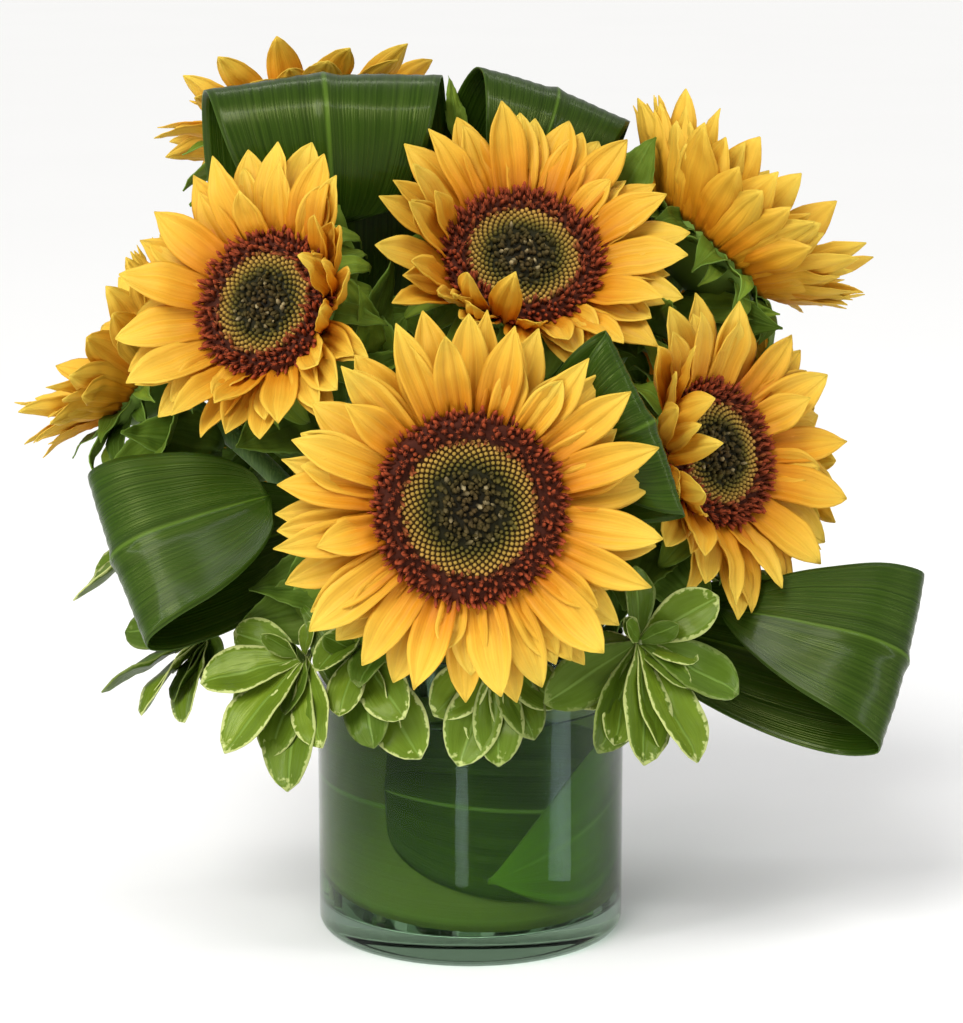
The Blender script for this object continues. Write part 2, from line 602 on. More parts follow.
# slot: petiole's place on the vase floor (mm); start: foot of the blade (mm); across: the axis
# that it rolls round; out: the way it sets out; course: midrib (mm ahead, mm above); width (mm);
# ends: how fast it narrows at foot and tip; tone: 0 is dark, 1 is light
leaves = {
    "upper_left_leaf_roll": {
        "slot": (-30, 6), "start": (-52, 48, 190), "across": (1, 0.08, 0.06), "out": (-0.05, 0.05, 1),
        "course": ((0, 18), (40, 5), (80, 0), (128, 0), (152, 9), (160, 26), (151, 42), (126, 46),
                   (100, 38)), "width": 102, "ends": (0.75, 0.3), "tone": 0.5},
    "upper_middle_leaf_roll": {
        "slot": (10, 10), "start": (-4, 57, 243), "across": (0.93, 0.1, -0.36), "out": (0.36, 0.05, 0.93),
        "course": ((-30, 6), (0, -4), (40, -9), (82, -8), (103, 0), (108, 14), (98, 27), (74, 28),
                   (54, 22)), "width": 73, "ends": (0.75, 0.55), "tone": 0.2},
    "lower_left_leaf_loop": {
        "slot": (-48, -15), "start": (-60, -16, 176), "across": (-0.35, 0.6, 0.72),
        "out": (-0.93, -0.3, -0.2),
        "course": ((0, 0), (28, -4), (58, -4), (81, 2), (89, 13), (81, 25), (56, 30), (24, 30)),
        "width": 80, "ends": (0.4, 0.4), "tone": 0.75},
    "lower_right_leaf_loop": {
        "slot": (47, -7), "start": (67.5, -11, 132), "across": (-0.27, -0.6, -0.752),
        "out": (0.943, -0.27, -0.123),
        "course": ((0, 0), (34, -5), (74, -7), (105, -1), (115, 11), (105, 23), (74, 27), (38, 27)),
        "width": 80, "ends": (0.45, 0.7), "tone": 0.45},
    "middle_leaf_fold": {
        "slot": (26, -30), "start": (23, -68, 206), "across": (0.4, -0.12, -0.9),
        "out": (0.9, -0.22, 0.41),
        "course": ((0, -6), (18, -1), (36, 2), (51, 3), (55, 8), (51, 13), (34, 13), (20, 12)),
        "width": 78, "ends": (0.75, 0.7), "tone": 0.7},
    "back_right_leaf_loop": {
        "slot": (32, 40), "start": (36, 60, 139), "across": (0.8, -0.5, 0.33), "out": (0.5, 0.85, 0.08),
        "course": ((0, 0), (28, -6), (58, -8), (80, 0), (86, 12), (76, 24), (46, 28), (22, 28)),
        "width": 84, "ends": (0.75, 0.7), "tone": 0.5},
    "back_left_leaf_loop": {
        "slot": (-45, 24), "start": (-62, 36, 141), "across": (0.5, 0.75, -0.3),
        "out": (-0.8, 0.55, 0.04),
        "course": ((0, 0), (26, -9), (56, -14), (76, -7), (82, 4), (72, 15), (44, 19), (22, 19)),
        "width": 82, "ends": (0.75, 0.7), "tone": 0.4},
}


def narrowed(share, widest, power):  # full at the widest place, nothing at the tip
    return max(cos(pi / 2 * (share - widest) / (1 - widest)), 0) ** power


def leafOutline(share, ends=(0.75, 0.7)):  # width along the midrib, as a share of the greatest
    widest = leafShape["widest"]
    if share < widest:
        return sin(pi / 2 * share / widest) ** ends[0]
    return narrowed(share, widest, ends[1])


def leafProfile(across):  # shallow pleats, a groove at the midrib and edges that lift
    pleat = leafShape["pleats"] * cos(across * leafShape["pleatCount"] * pi)
    groove = leafShape["groove"] * exp(-(across / leafShape["grooveWidth"]) ** 2)
    return pleat - groove + leafShape["lift"] * abs(across)


def addCourse(name, course):  # the line that the blade follows, in a plane
    deselectAll()
    bpy.ops.curve.primitive_bezier_curve_add()
    guide = bpy.context.object
    guide.name = name
    guide.data.dimensions = "2D"
    guide.data.resolution_u = 24
    points = guide.data.splines[0].bezier_points
    points.add(len(course) - 2)
    for point, place in zip(points, course):
        point.co = (place[0] * mm, place[1] * mm, 0)
        point.handle_left_type = "AUTO"
        point.handle_right_type = "AUTO"
    return guide


def buildLeaf(name, leaf):
    across = Vector(leaf["across"]).normalized()
    out = Vector(leaf["out"])
    out = (out - across * out.dot(across)).normalized()
    lift = across.cross(out)
    place = Matrix((out, lift, across)).transposed().to_4x4()
    place.translation = Vector(leaf["start"]) * mm
    guide = addCourse(name + "Course", leaf["course"])
    bpy.context.view_layer.update()
    length = guide.data.splines[0].calc_length()
    width = leaf["width"] * mm
    foot = leafShape["footWidth"] / width
    blade = makeBlade(name + "Blade", leafShape["columns"], leafShape["rows"], width, length,
                      lambda share: max(leafOutline(share, leaf["ends"]), foot if share < 0.5 else 0.02),
                      leafProfile)
    addRuffle(blade, leafShape["ruffle"], leafShape["waves"])
    applyModifiers(blade)
    blade.data.transform(Matrix(((0, 1, 0), (0, 0, 1), (1, 0, 0))).to_4x4())  # along X, across Z
    bend = blade.modifiers.new("Roll", "CURVE")
    bend.object = guide
    bend.deform_axis = "POS_X"
    addSolidify(blade, leafShape["thickness"])
    applyModifiers(blade)
    blade.data.transform(place)
    bpy.data.objects.remove(guide)
    setValue(blade, "tone", leaf["tone"])
    start, onward = (place @ Vector((ahead * mm, above * mm, 0)) for ahead, above in leaf["course"][:2])
    along = (onward - start).normalized()
    knots = stalkKnots(leaf["slot"], start + along * 3 * mm, along)
    petiole = makeStalk(name + "Petiole", knots, leafShape["petiole"])
    pick([petiole])
    bpy.ops.object.convert(target="MESH")
    setValue(bpy.context.object, "tone", leafShape["petioleTone"])
    piece = joinPieces(name + "_leaf", [blade, petiole])
    finishPiece(piece, aspidistraMaterial, "aspidistra_green", name)


# clear and step: gaps from the glass to the first leaf and on to the next (mm)
linerShape = {
    "columns": 24, "rows": 90, "thickness": 0.5 * mm, "pleats": 0.12 * mm, "pleatCount": 12,
    "clear": 0.9, "step": 0.8}

# node: the frame's leaf that it belongs to; under: leaves between it and the glass; foot and
# sweep (degrees round the vase from +X); heights of the midrib at foot and tip, and greatest
# width (mm); blunt: how thin its ends are drawn out; tone: 0 is dark, 1 is light
liners = {
    "left": {
        "node": "left_liner_leaf", "under": 2, "foot": 150, "sweep": 242, "heights": (66, 60),
        "width": 97, "blunt": 0.3, "tone": 0.5},
    "middle": {
        "node": "left_liner_leaf", "under": 1, "foot": 235, "sweep": 105, "heights": (71, 58),
        "width": 76, "blunt": 0.3, "tone": 0.0},
    "right": {
        "node": "right_liner_leaf", "under": 0, "foot": 36, "sweep": -119, "heights": (78, 36),
        "width": 64, "blunt": 1.5, "tone": 0.75},
}


def buildLiner(name, liner):
    # a leaf curved round inside the glass: laid flat, then wrapped
    inner = vase["radius"] - vase["wall"]
    radius = inner - (linerShape["clear"] + linerShape["step"] * liner["under"]) * mm
    foot, tip = liner["heights"]
    blade = makeBlade(name + "Wrap", linerShape["columns"], linerShape["rows"], liner["width"] * mm, 1,
                      lambda share: max(leafOutline(share) ** liner["blunt"], 0.04),
                      lambda across: linerShape["pleats"] * cos(across * linerShape["pleatCount"] * pi))
    for vertex in blade.data.vertices:
        aside, share, pleat = vertex.co
        turn = radians(liner["foot"] + liner["sweep"] * share)
        height = (foot + (tip - foot) * share) * mm + aside
        ring = radius + pleat
        vertex.co = (ring * cos(turn), ring * sin(turn), height)
    pick([blade])
    bpy.ops.object.mode_set(mode="EDIT")
    bpy.ops.mesh.select_all(action="SELECT")
    bpy.ops.mesh.normals_make_consistent(inside=False)
    addSolidify(blade, linerShape["thickness"])
    deselectAll()
    applyModifiers(blade)
    setValue(blade, "tone", liner["tone"])
    piece = joinPieces(name + "_liner_wrap", [blade])
    finishPiece(piece, undersideMaterial if name == "left" else linerMaterial, "aspidistra_green",
                liner["node"])


# varied: limits of the widest place and of the point's sharpness; waves: size of the ruffles;
# foot: where rays stand, as a share of the disc's radius; curl: degrees, for blooms that don't
# state their own; small: how many rays there are for each small upright one that is added
petal = {
    "kinds": 8, "columns": 10, "rows": 12, "width": 17.5 * mm, "length": 40 * mm,
    "thickness": 0.3 * mm, "ridge": 0.8 * mm, "channel": 2.4 * mm, "ruffle": 3.8 * mm,
    "varied": ((0.42, 0.56), (0.72, 1.1)), "waves": (0.010, 0.017), "foot": 0.93, "curl": -21,
    "small": 3}

# madeFor: radius of the disc that the size suits; top: the calyx's upper edge, from the disc's
# plane; bowl: radius and depth of the cup behind the disc, as shares; stem: the stem's radius
bract = {
    "kinds": 4, "columns": 6, "rows": 14, "width": 18 * mm, "length": 30 * mm,
    "thickness": 0.5 * mm, "ruffle": 6.0 * mm, "waves": (0.008, 0.014), "layers": 2, "count": 11,
    "madeFor": 30 * mm, "top": -3.1 * mm, "depth": 0.6,
    "bowl": ((0.42, 0.86), (0.72, 0.62), (0.88, 0.3)), "stemLeaves": 4, "stem": 4.2 * mm}

stemLeaf = {
    "kinds": 3, "columns": 8, "rows": 27, "width": 36 * mm, "length": 56 * mm,
    "thickness": 0.5 * mm, "ruffle": 9 * mm, "waves": (0.012, 0.018)}

# at, slot (mm); face (degrees right of -Y, degrees up); disc radius, ray length (mm); rays in
# each layer; cup: how far they turn forward; lean: sides that fold in (side, extra, sharpness);
# outer: layers that spread further (degrees, share of the length); broad: share of usual
# breadth; curl: how far they turn back on themselves
blooms = {
    "front": {
        "at": (0, -100, 198), "slot": (0, -44), "face": (0, 10), "disc": 37.5, "rays": 18, "ray": 40.5,
        "cup": 9, "lean": ((95, 22, 2),)},
    "top": {
        "at": (21, -10, 281), "slot": (12, -12), "face": (8, 42), "disc": 33, "rays": 14, "ray": 38,
        "cup": 30, "lean": ((180, 35, 3), (250, 60, 8))},
    "upper_left": {
        "at": (-80, -32, 266), "slot": (-30, -20), "face": (-28, 22), "disc": 30, "rays": 14, "ray": 38,
        "cup": 28, "lean": ((15, 60, 4), (270, 25, 4))},
    "right": {
        "at": (97.6, -29.8, 205.3), "slot": (42, -25), "face": (44, 18), "disc": 30, "rays": 14, "ray": 38,
        "cup": 30, "lean": ((165, 62, 3),)},
    "upper_right": {
        "at": (100, 38, 281), "slot": (28, 6), "face": (103, 45), "disc": 30, "rays": 14, "ray": 47,
        "cup": 46, "lean": ((190, 16, 2),), "outer": ((-4, 0.97), (-8, 0.92), (-13, 0.84)),
        "broad": 1.15, "curl": -2},
    "far_left": {
        "at": (-136, 32, 230), "slot": (-44, 8), "face": (-92, 38), "disc": 27.5, "rays": 12, "ray": 37.5,
        "cup": 54, "lean": ((90, 24, 2),), "outer": ((-13, 0.9),)},
    "top_left": {
        "at": (-72, 102, 320), "slot": (-12, 30), "face": (-160, 60), "disc": 30, "rays": 13, "ray": 37,
        "cup": 30, "lean": ()},
    "far_right": {
        "at": (120, 66, 193), "slot": (44, 21), "face": (108, 12), "disc": 27, "rays": 12, "ray": 33,
        "cup": 28, "lean": ()},
    "back_left": {
        "at": (-70, 111, 202), "slot": (-26, 42), "face": (-155, 15), "disc": 32, "rays": 12, "ray": 38,
        "cup": 18, "lean": ()},
    "back_right": {
        "at": (45, 108, 242), "slot": (14, 34), "face": (165, 30), "disc": 33, "rays": 12, "ray": 38,
        "cup": 18, "lean": ()},
}


def faceMatrix(bloom):  # X to the bloom's right, Y up its face, Z the way it faces
    turn, rise = (radians(angle) for angle in bloom["face"])
    normal = Vector((sin(turn) * cos(rise), -cos(turn) * cos(rise), sin(rise)))
    right = Vector((cos(turn), sin(turn), 0))
    matrix = Matrix((right, normal.cross(right), normal)).transposed().to_4x4()
    matrix.translation = Vector(bloom["at"]) * mm
    return matrix


def leanAt(bloom, angle):
    lean = 0
    for side, extra, sharpness in bloom["lean"]:
        lean += extra * max(0, cos(angle - radians(side))) ** sharpness
    return lean


def petalOutline(share, widest, point):  # a broad foot, a full middle and a drawn-out tip
    if share < widest:
        return 0.8 + 0.2 * sin(pi / 2 * share / widest)
    return narrowed(share, widest, point)


def petalProfile(across):  # two ridges along a shallow channel
    return petal["ridge"] * cos(across * 2.5 * pi) + petal["channel"] * across ** 2


def bractOutline(share):  # broad and full, then drawn out into a long thin tip
    return narrowed(share, 0, 1.3) * (0.78 + 0.55 * share) + 0.07 * (1 - share)


def bractProfile(across):
    return 1.6 * mm * across ** 2


def stemLeafOutline(share):  # heart-shaped, with a toothed edge and a drawn-out tip
    teeth = 0.05 * abs(sin(share * 9 * pi))
    widest = 0.28
    if share < widest:
        return 0.2 + 0.8 * sin(pi / 2 * share / widest) - teeth
    return narrowed(share, widest, 1.05) * (1 - teeth)


def stemLeafProfile(across):
    return 3.0 * mm * abs(across) - 0.8 * mm * exp(-(across / 0.1) ** 2)


def edgeMatrix(bloomPlace, angle, radius, height, pitch, roll):
    # where a petal or bract stands: on the rim at the angle, leaning out by the pitch (degrees)
    pitch = radians(pitch)
    outward = Vector((cos(angle), sin(angle), 0))
    side = Vector((-sin(angle), cos(angle), 0))
    along = outward * cos(pitch) + Vector((0, 0, sin(pitch)))
    normal = along.cross(side)
    if normal.dot(Vector((0, 0, 1))) * cos(pitch) < 0:
        normal = -normal
    place = Matrix((-side, -normal, along)).transposed().to_4x4()
    place = place @ Matrix.Rotation(radians(roll), 4, "Z")
    place.translation = outward * radius + Vector((0, 0, height))
    return bloomPlace @ place


def buildPetals(name, bloom, kinds):
    draw = random.Random(name + " petals")
    place = faceMatrix(bloom)
    rays = bloom["rays"]
    segments = 2 * rays
    spots = []  # of each ray: angle, cup, height (mm), share of the lean, size
    for index in range(segments):  # the two main layers, as in the frame
        angle = pi / 2 + (index + 0.5) * tau / segments
        spots.append((angle, 8, -0.7, 1, 1) if index % 2 == 0 else (angle, -7, -2.1, 0.75, 1))
    for index in range(rays):  # a loose layer in between, some of them short
        spots.append((tau * (index + draw.uniform(0.1, 0.9)) / rays, draw.uniform(-5, 6),
                      -1.5, 0.85, draw.uniform(0.72, 0.98)))
    for drop, size in bloom.get("outer", ()):  # layers that spread below these
        for index in range(rays):
            spots.append((tau * (index + draw.uniform(0.2, 0.8)) / rays,
                          drop + draw.uniform(-4, 4), -2.6, 0.7, size * draw.uniform(0.85, 1.05)))
    small = rays // petal["small"]
    for index in range(small):  # a few small ones that stand up round the disc
        spots.append((tau * (index + draw.uniform(0.1, 0.9)) / small, draw.uniform(8, 26),
                      -0.3, 0.9, draw.uniform(0.5, 0.75)))
    pieces = []
    for angle, cup, height, leanShare, size in spots:
        angle += draw.uniform(-0.07, 0.07)
        lean = leanAt(bloom, angle) * leanShare
        start = bloom["cup"] + cup + draw.uniform(-4, 4) + 0.42 * lean
        turn = 1.15 * lean + bloom.get("curl", petal["curl"]) + draw.uniform(-15, 13)
        length = bloom["ray"] * mm * draw.uniform(0.92, 1.06) * size / petal["length"]
        breadth = draw.uniform(0.82, 1.06) * (1 - 0.004 * lean) * (0.6 + 0.4 * size) * bloom.get("broad", 1)
        pieces.append(placeCopy(
            draw.choice(kinds), f"{name}Petal{len(pieces)}", (breadth, 1, length),
            (draw.uniform(-22, 22), -turn),
            edgeMatrix(place, angle, bloom["disc"] * mm * petal["foot"], height * mm, start,
                       draw.uniform(-9, 9)),
            draw.random()))
    piece = joinPieces(name + "_petals", pieces)
    finishPiece(piece, petalMaterial, "ray_yellow", name + "_bloom_petals")


def selectFaces(piece, wanted):
    bpy.ops.mesh.select_mode(type="FACE")
    bm = bmesh.from_edit_mesh(piece.data)
    for face in bm.faces:
        face.select_set(wanted(face))
    bmesh.update_edit_mesh(piece.data)


def startFloret(name, sides, foot, top, height):  # an open-footed cone (mm), its upper end selected
    deselectAll()
    bpy.ops.mesh.primitive_cone_add(vertices=sides, radius1=foot * mm, radius2=top * mm,
                                    depth=height * mm, location=(0, 0, height / 2 * mm),
                                    end_fill_type="NGON")
    floret = startPiece(name)
    selectFaces(floret, lambda face: face.normal.z < -0.9)
    bpy.ops.mesh.delete(type="FACE")
    selectFaces(floret, lambda face: face.normal.z > 0.9)
    return floret


def growFloret(rise, width):  # draws the selected end up (mm) and widens it
    bpy.ops.mesh.extrude_region_move(TRANSFORM_OT_translate={"value": (0, 0, rise * mm)})
    bpy.ops.transform.resize(value=(width, width, 1), center_override=(0, 0, 0))


def closeFloret():
    bpy.ops.object.mode_set(mode="OBJECT")
    bpy.ops.object.transform_apply(location=True)


def setRise(floret, low, reach):  # from 0 low down (mm) to 1 at its tip, for its colours
    rises = [min(max((vertex.co.z / mm - low) / reach, 0), 1) for vertex in floret.data.vertices]
    setValue(floret, "rise", rises)


def makeBudFloret():  # a closed floret: a six-sided bud with a low cap
    bud = startFloret("budFloret", 6, 0.9, 0.62, 1.4)
    bpy.ops.mesh.inset(thickness=0.3 * mm, depth=0.15 * mm)
    closeFloret()
    setRise(bud, 0, 1.3)
    return bud


def makeSpikeFloret():  # an unopened floret: a slender pointed bud with a waist
    spike = startFloret("spikeFloret", 5, 0.42, 0.5, 1.6)
    growFloret(0.7, 1.15)
    growFloret(0.9, 0.3)
    closeFloret()
    setRise(spike, 1.0, 2.2)
    return spike


def makeOpenFloret():  # an open floret: a tube with five pointed lobes round its anther column
    tube = startFloret("openFloret", 10, 0.5, 0.6, 2.4)
    growFloret(1.4, 1.5)
    bpy.ops.mesh.inset(thickness=0.5 * mm, depth=-1.0 * mm)
    growFloret(2.2, 0.35)
    closeFloret()
    for vertex in tube.data.vertices:  # every other point of the mouth is drawn down between lobes
        if 3.6 * mm < vertex.co.z < 4.0 * mm and vertex.co.xy.length > 0.7 * mm:
            place = round((Vector((0, 1)).angle_signed(vertex.co.xy)) / (tau / 10))
            if place % 2:
                vertex.co = (vertex.co.x * 0.6, vertex.co.y * 0.6, vertex.co.z - 1.0 * mm)
            else:
                vertex.co = (vertex.co.x * 1.1, vertex.co.y * 1.1, vertex.co.z + 0.5 * mm)
    setRise(tube, 1.6, 3.0)
    return tube


# spikesTo, openFrom: shares of the radius where closed buds begin and end; pointed: share of the
# outer rings' florets that haven't opened; edge, dome and ring: heights that make up its ground
disc = {
    "spacing": 1.95 * mm, "spikesTo": 0.40, "openFrom": 0.70, "openRings": 5,
    "openSpacing": 2.1 * mm, "pointed": 0.5, "spiral": radians(137.508), "edge": 0.3 * mm,
    "dome": 3.6 * mm, "ring": 2.5 * mm, "ringAt": 0.86, "ringWidth": 0.17}


def discHeight(share):  # the ground that the florets stand on
    ring = exp(-((share - disc["ringAt"]) / disc["ringWidth"]) ** 2)
    return disc["edge"] + disc["ring"] * ring + disc["dome"] * (1 - share ** 2)


def buildDisc(name, bloom, bud, spike, tube):
    draw = random.Random(name + " disc")
    place = faceMatrix(bloom)
    radius = (bloom["disc"] - 0.5) * mm
    ground = makeTurned(name + "Ground", [(0, discHeight(0))] + [
        (radius * step / 10, discHeight(step / 10)) for step in range(1, 10)] + [
        (radius * 0.985, discHeight(1)), (radius * 0.985, disc["edge"]), (0, disc["edge"])], 48)
    ground.matrix_world = place
    setValue(ground, "share", [min(v.co.xy.length / radius, 1) for v in ground.data.vertices])
    setValue(ground, "rise", 0.0)
    setValue(ground, "tone", 0.5)
    pieces = [ground]

    def plant(kind, angle, share, sunk, lean, aside, size, tall, tone):
        spot = Vector((cos(angle) * share * radius, sin(angle) * share * radius, discHeight(share) - sunk))
        tilt = Matrix.Rotation(angle, 4, "Z") @ Matrix.Rotation(lean, 4, "Y") @ Matrix.Rotation(aside, 4, "X")
        twin = copyPiece(kind, f"{name}Floret{len(pieces)}")
        twin.matrix_world = place @ Matrix.Translation(spot) @ tilt @ Matrix.Diagonal((size, size, tall, 1))
        setValue(twin, "share", min(share, 1.0))
        setValue(twin, "tone", tone)
        pieces.append(twin)

    count = int((radius / disc["spacing"]) ** 2 * pi)
    for index in range(count):  # closed florets on a sunflower spiral, ragged in the middle
        share = sqrt((index + 0.5) / count)
        angle = index * disc["spiral"]
        if share > disc["openFrom"]:
            break
        if share > disc["spikesTo"] + draw.uniform(-0.06, 0.06):
            plant(bud, angle, share, 0, 0.25 * share, 0, 0.92 + 0.32 * share, 1.0, 0.5)
        else:
            bright = draw.random() ** (0.35 + 3 * share)
            plant(spike, angle + draw.uniform(-0.15, 0.15), share, 0.6 * mm, draw.uniform(-0.9, 0.9),
                  draw.uniform(-0.9, 0.9), draw.uniform(1.2, 2.1), draw.uniform(0.8, 1.5), bright)
    for ring in range(disc["openRings"]):  # open florets, leaning every way
        share = disc["openFrom"] + 0.02 + ring * (0.98 - disc["openFrom"]) / disc["openRings"]
        around = int(tau * share * radius / disc["openSpacing"])
        for index in range(around):
            angle = tau * (index + 0.5 * (ring % 2) + draw.uniform(-0.3, 0.3)) / around
            lean = (ring - 1.2) * 0.26 + draw.uniform(-0.4, 0.4)
            if draw.random() < disc["pointed"]:
                plant(spike, angle, share, 0.5 * mm, lean + 0.2, draw.uniform(-0.5, 0.5),
                      draw.uniform(1.2, 1.7), draw.uniform(1.3, 1.9), draw.uniform(0, 0.85))
            else:
                plant(tube, angle, share + draw.uniform(-0.015, 0.02), 0.9 * mm, lean,
                      draw.uniform(-0.4, 0.4), draw.uniform(0.9, 1.2), draw.uniform(0.8, 1.2),
                      draw.uniform(0, 0.85))
    piece = joinPieces(name + "_disc", pieces)
    finishPiece(piece, floretMaterial, "disc_brown", name + "_bloom_disc")


def buildCalyx(name, bloom, bractKinds, leafKinds):
    draw = random.Random(name + " bracts")
    place = faceMatrix(bloom)
    radius = bloom["disc"] * mm
    top = bract["top"]
    depth = bract["depth"] * radius
    bowl = makeTurned(name + "Bowl", [(0, top - depth), (bract["stem"] * 1.5, top - depth)] + [
        (radius * wide, top - depth * low) for wide, low in bract["bowl"]] + [
        (radius * 0.95, top - 2 * mm), (radius * 0.95, 0.1 * mm), (0, 0.1 * mm)], 40)
    bowl.matrix_world = place
    setValue(bowl, "tone", 0.3)
    bowlUv = bowl.data.uv_layers.new(name="UVMap")
    for loop in bowl.data.loops:
        spot = bowl.data.vertices[loop.vertex_index].co
        bowlUv.data[loop.index].uv = (0.5 + 0.3 * spot.x / radius, 0.4 + 0.3 * spot.y / radius)
    pieces = [bowl]
    for layer in range(bract["layers"]):
        for index in range(bract["count"]):
            angle = tau * (index + 0.5 * layer + draw.uniform(-0.2, 0.2)) / bract["count"]
            kind = draw.choice(bractKinds)
            curl = min(leanAt(bloom, angle) / 40, 1)  # those that show behind folded petals curl up
            usual = radius / bract["madeFor"]
            length = usual * draw.uniform(0.85, 1.15) * (1 - 0.1 * layer - 0.2 * curl)
            breadth = usual * draw.uniform(0.85, 1.15) * (1 - 0.35 * curl)
            pieces.append(placeCopy(
                kind, f"{name}Bract{layer}_{index}", (breadth, 1, length),
                (draw.uniform(-60, 60), draw.uniform(0, 105) + 60 * curl),
                edgeMatrix(place, angle, radius * (0.87 - 0.06 * layer), top - (1.5 + 3.5 * layer) * mm,
                           min(bloom["cup"], 34) - 22 + draw.uniform(-10, 8) - 8 * layer,
                           draw.uniform(-8, 8)),
                draw.random() ** (1 - 0.6 * curl)))
    for index in range(bract["stemLeaves"]):  # crumpled leaves on the stem behind the bloom
        kind = draw.choice(leafKinds)
        size = draw.uniform(0.8, 1.1)
        pieces.append(placeCopy(
            kind, f"{name}StemLeaf{index}", (size, size, size),
            (draw.uniform(-50, 50), draw.uniform(-30, 60)),
            edgeMatrix(place, tau * (index + draw.uniform(-0.25, 0.25)) / bract["stemLeaves"], 4.5 * mm,
                       top - depth - (6 + 9 * index) * mm, draw.uniform(-15, 25), draw.uniform(-30, 30)),
            draw.uniform(0, 0.7)))
    collar = joinPieces(name + "_bracts", pieces)
    normal = place.col[2].xyz
    end = place @ Vector((0, 0, top - depth + 6 * mm))
    stalk = makeStalk(name + "Stalk", stalkKnots(bloom["slot"], end, normal), bract["stem"], sides=5)
    stem = joinPieces(name + "_stem", [stalk])
    finishPiece(collar, bractMaterial, "stem_green", name + "_bloom_stem")
    finishPiece(stem, stemMaterial, "stem_green", name + "_bloom_stem")


sprig = {
    "kinds": 5, "columns": 8, "rows": 16, "width": 21 * mm, "length": 42 * mm, "thickness": 0.45 * mm,
    "ruffle": 4.0 * mm, "waves": (0.010, 0.018), "twig": 1.8 * mm, "inner": 4}

# slot (mm); points that the twig passes after the mouth (mm); tips of the leaves (mm); more:
# roots and tips of leaves that grow behind them
sprays = {
    "left_spray": {
        "slot": (-33, -33), "twig": ((-56, -58, 137), (-66, -70, 131)),
        "tips": ((-107, -72, 124), (-98, -90, 101), (-75, -96, 86), (-96, -56, 140), (-60, -98, 104))},
    "far_left_spray": {
        "slot": (-47, -3), "twig": ((-80, -6, 136), (-108, -18, 128)),
        "tips": ((-151, -30, 109), (-138, -45, 107), (-120, -54, 104), (-145, -4, 130), (-104, -48, 118)),
        "more": (((-124, 6, 168), (-164, -10, 142)), ((-122, 4, 164), (-158, 6, 150)))},
    "rim_left_spray": {
        "slot": (-18, -40), "twig": ((-36, -63, 137), (-44, -77, 135)),
        "tips": ((-26, -101, 116), (-38, -95, 102), (-20, -94, 97), (-52, -94, 116)),
        "more": (((-66, -62, 150), (-36, -86, 117)), ((-40, -66, 148), (-60, -88, 132)),
                 ((-30, -70, 146), (-44, -98, 130)))},
    "rim_right_spray": {
        "slot": (12, -47), "twig": ((11, -66, 137), (10, -78, 135)),
        "tips": ((-4, -96, 95), (12, -98, 96), (26, -94, 106), (36, -88, 118), (-14, -90, 114))},
    "right_spray": {
        "slot": (26, -38), "twig": ((50, -64, 140), (67, -82, 141)),
        "tips": ((29, -96, 120), (53, -99, 100), (70, -109, 100), (90, -99, 98), (96, -86, 160),
                 (108, -80, 122), (66, -74, 170))},
    "back_spray": {
        "slot": (-6, 48), "twig": ((-8, 79, 141), (-5, 104, 145)),
        "tips": ((-40, 118, 142), (-22, 134, 160), (14, 134, 154), (30, 118, 132), (2, 131, 117))},
    "back_right_spray": {
        "slot": (50, 8), "twig": ((84, 18, 148), (106, 28, 140)),
        "tips": ((138, 6, 140), (144, 34, 128), (130, 56, 118), (108, 62, 134), (118, 8, 114))},
}


def sprigOutline(share):  # widest past the middle, blunt at the tip
    widest = 0.62
    if share < widest:
        return 0.12 + 0.88 * sin(pi / 2 * share / widest) ** 1.3
    return narrowed(share, widest, 0.6)


def sprigProfile(across):
    return 2.2 * mm * abs(across) ** 1.5 - 0.5 * mm * exp(-(across / 0.15) ** 2)


def buildSpray(name, spray, kinds):
    draw = random.Random(name)
    points = [Vector(point) * mm for point in spray["twig"]]
    tipWay = (points[-1] - points[-2]).normalized()
    root = points[-1] - tipWay * 1.6 * mm
    outward = Vector((root.x, root.y, 0)).normalized() + Vector((0, 0, 0.6))
    tips = [Vector(tip) * mm for tip in spray["tips"]]
    spots = [(root, tip, outward, 1.0) for tip in tips]
    spots += [(Vector(foot) * mm, Vector(tip) * mm, outward, 0.9) for foot, tip in spray.get("more", ())]
    for near, far in zip(tips, tips[1:] + tips[:1]):  # smaller leaves behind and between these
        tip = root + (near.lerp(far, draw.uniform(0.35, 0.65)) - root) * draw.uniform(0.72, 0.9)
        spots.append((root - tipWay * draw.uniform(2, 6) * mm, tip - outward * 3 * mm,
                      outward + Vector([draw.uniform(-0.3, 0.3) for axis in range(3)]), 0.85))
    for index in range(sprig["inner"]):  # a few more that close the whorl over the twig's end
        turn = tau * (index + draw.random()) / sprig["inner"]
        side = Vector((cos(turn), sin(turn), 0.35)) + outward * 0.9
        spots.append((root, root + side.normalized() * draw.uniform(14, 22) * mm, tipWay + outward, 0.75))
    pieces = []
    for index, (foot, tip, face, breadth) in enumerate(spots):
        scale = (tip - foot).length / sprig["length"]
        broad = breadth * draw.uniform(0.92, 1.1) * (0.35 + 0.65 * scale)
        pieces.append(placeCopy(
            draw.choice(kinds), f"{name}Leaf{index}", (broad, scale, scale),
            (draw.uniform(-14, 14), draw.uniform(4, 22)), spanMatrix(foot, tip, face), draw.random()))
    tuft = joinPieces(name + "_leaves", pieces)
    knots = stalkKnots(spray["slot"], points[0], tipWay)
    knots.append((points[-1], tipWay * 6 * mm))
    twig = joinPieces(name + "_twig", [makeStalk(name + "Twig", knots, sprig["twig"], taper=0.6)])
    finishPiece(tuft, pittosporumMaterial, "pittosporum_green", name)
    finishPiece(twig, twigMaterial, "pittosporum_green", name)


